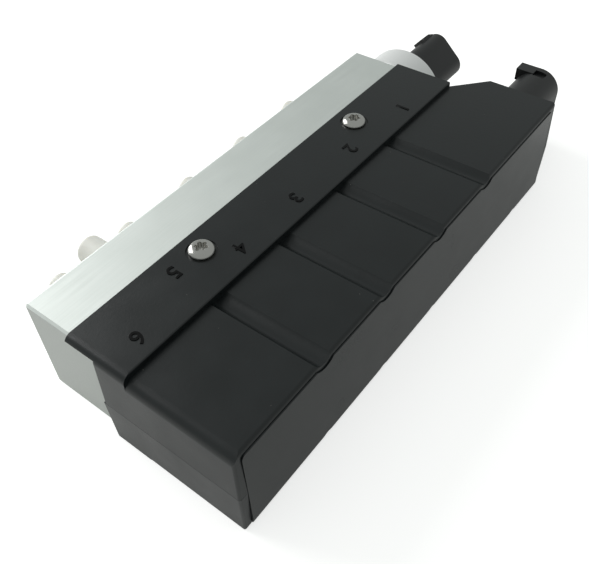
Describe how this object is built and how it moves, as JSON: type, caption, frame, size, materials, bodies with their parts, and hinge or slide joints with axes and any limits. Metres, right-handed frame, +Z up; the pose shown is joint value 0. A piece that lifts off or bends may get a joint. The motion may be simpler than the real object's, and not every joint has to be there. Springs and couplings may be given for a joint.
{
  "type": "solenoid valve block",
  "caption": "Air suspension valve block: aluminium manifold with push-in air ports, black plastic coil housing, screwed-in pressure sensor and two plug sockets at one end",
  "frame": {"origin": "centre of the aluminium block's bottom face", "axes": "+X along the block towards the two electrical connectors, +Y out of the air ports, +Z up"},
  "size_m": [0.2051, 0.0969, 0.0382],
  "materials": {
    "block_aluminium": "matte as extruded and sawn",
    "housing_plastic": "satin, glass filled",
    "screw_steel": "satin",
    "fitting_brass": "machined",
    "collet_plastic": "satin",
    "plug_plastic": "waxy, slightly translucent",
    "seal_rubber": "matte",
    "yoke_steel": "zinc plated",
    "bobbin_plastic": "satin",
    "winding_copper": "enamelled wire",
    "core_steel": "turned",
    "spring_steel": "drawn wire",
    "contact_brass": "tin plated",
    "carrier_plastic": "satin",
    "connector_plastic": "satin",
    "sensor_steel": "satin, crimped edge"
  },
  "bodies": {
    "block": {"manifold_block": "block_aluminium", "top_cover": "housing_plastic", "bottom_cover": "housing_plastic", "side_panel": "housing_plastic", "cover_screws": "screw_steel", "port_fitting_1": "fitting_brass", "port_fitting_2": "fitting_brass", "port_fitting_3": "fitting_brass", "port_fitting_4": "fitting_brass", "port_fitting_5": "fitting_brass", "supply_fitting": "fitting_brass", "collets": "collet_plastic", "port_plug_1": "plug_plastic", "port_plug_2": "plug_plastic", "port_plug_3": "plug_plastic", "port_plug_4": "plug_plastic", "port_plug_5": "plug_plastic", "supply_plug": "plug_plastic", "tube_seals": "seal_rubber", "guide_tube_seals": "seal_rubber", "sensor_seal": "seal_rubber", "yoke_1": "yoke_steel", "yoke_2": "yoke_steel", "yoke_3": "yoke_steel", "yoke_4": "yoke_steel", "yoke_5": "yoke_steel", "bobbin_1": "bobbin_plastic", "bobbin_2": "bobbin_plastic", "bobbin_3": "bobbin_plastic", "bobbin_4": "bobbin_plastic", "bobbin_5": "bobbin_plastic", "windings": "winding_copper", "guide_tube_1": "core_steel", "guide_tube_2": "core_steel", "guide_tube_3": "core_steel", "guide_tube_4": "core_steel", "guide_tube_5": "core_steel", "return_spring_1": "spring_steel", "return_spring_2": "spring_steel", "return_spring_3": "spring_steel", "return_spring_4": "spring_steel", "return_spring_5": "spring_steel", "contact_strips": "contact_brass", "sensor_pins": "contact_brass", "contact_carrier": "carrier_plastic", "main_connector": "connector_plastic", "sensor_connector": "connector_plastic", "sensor_can": "sensor_steel"},
    "valve_1_plunger": {"plunger_1": "core_steel", "plunger_seal_1": "seal_rubber"},
    "valve_2_plunger": {"plunger_2": "core_steel", "plunger_seal_2": "seal_rubber"},
    "valve_3_plunger": {"plunger_3": "core_steel", "plunger_seal_3": "seal_rubber"},
    "valve_4_plunger": {"plunger_4": "core_steel", "plunger_seal_4": "seal_rubber"},
    "valve_5_plunger": {"plunger_5": "core_steel", "plunger_seal_5": "seal_rubber"}
  },
  "joints": [
    {"name": "valve_1_lift", "type": "slide", "parent": "block", "child": "valve_1_plunger", "axis": [0, -1, 0], "range_m": [0, 0.0012], "stiffness_N_per_m": 3500, "springref_m": -0.002, "deforming": ["return_spring_1"]},
    {"name": "valve_2_lift", "type": "slide", "parent": "block", "child": "valve_2_plunger", "axis": [0, -1, 0], "range_m": [0, 0.0012], "stiffness_N_per_m": 3500, "springref_m": -0.002, "deforming": ["return_spring_2"]},
    {"name": "valve_3_lift", "type": "slide", "parent": "block", "child": "valve_3_plunger", "axis": [0, -1, 0], "range_m": [0, 0.0012], "stiffness_N_per_m": 3500, "springref_m": -0.002, "deforming": ["return_spring_3"]},
    {"name": "valve_4_lift", "type": "slide", "parent": "block", "child": "valve_4_plunger", "axis": [0, -1, 0], "range_m": [0, 0.0012], "stiffness_N_per_m": 3500, "springref_m": -0.002, "deforming": ["return_spring_4"]},
    {"name": "valve_5_lift", "type": "slide", "parent": "block", "child": "valve_5_plunger", "axis": [0, -1, 0], "range_m": [0, 0.0012], "stiffness_N_per_m": 3500, "springref_m": -0.002, "deforming": ["return_spring_5"]}
  ]
}
